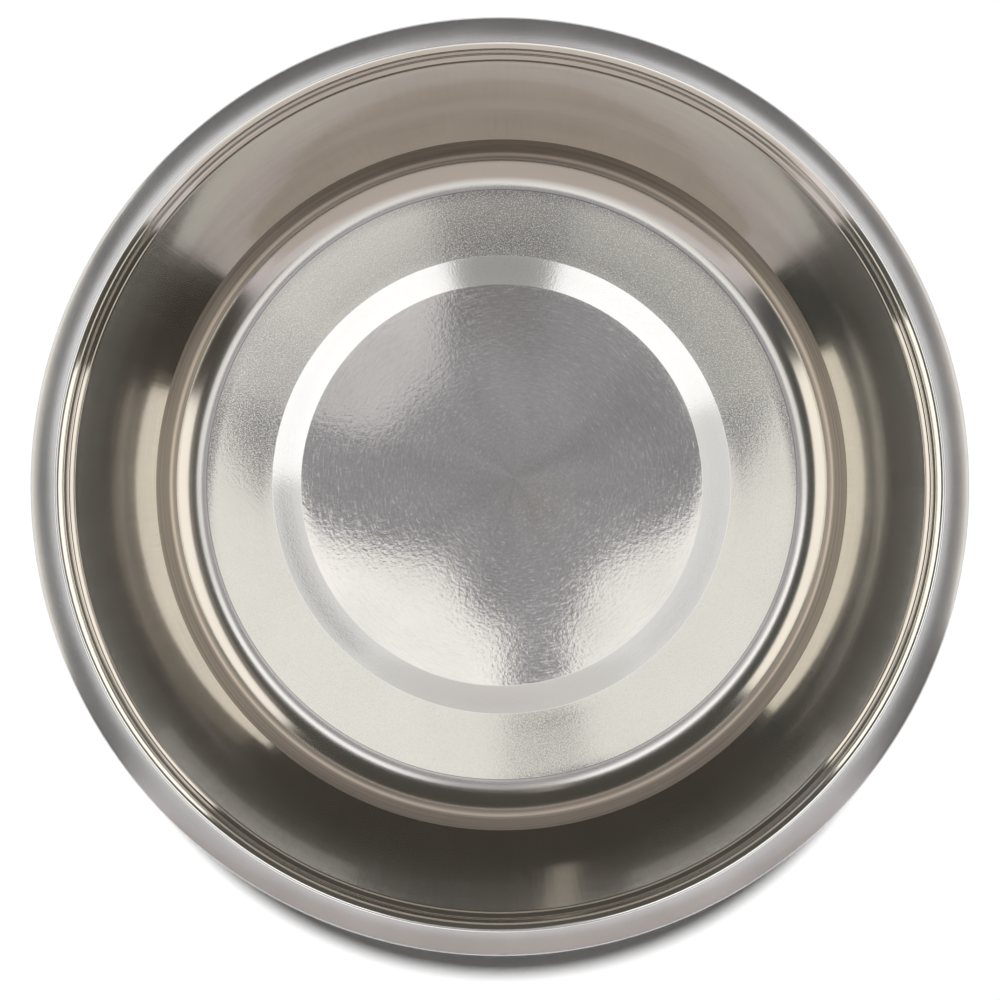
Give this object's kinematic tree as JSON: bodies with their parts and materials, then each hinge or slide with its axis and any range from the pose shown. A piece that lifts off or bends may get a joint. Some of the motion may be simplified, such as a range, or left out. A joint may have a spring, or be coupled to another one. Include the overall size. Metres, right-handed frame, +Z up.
{
  "type": "dog bowl",
  "caption": "Deep round stainless steel dog bowl with a wide rolled rim, a small ledge below it, a flat floor with a raised middle, and a rubber ring bonded round its foot.",
  "frame": {"origin": "middle of the rubber ring's flat underside, where the bowl stands", "axes": "+Z up along the bowl's axis, out of its mouth; +X and +Y across the rim, any way round"},
  "size_m": [0.25, 0.25, 0.0858],
  "materials": {
    "steel": "polished wall, satin rim, fine sand-grained floor land, polished band and circularly brushed middle",
    "rubber": "matte moulded rubber"
  },
  "bodies": {
    "root": {"bowl_pressing": "steel", "non_slip_ring": "rubber"}
  },
  "joints": []
}
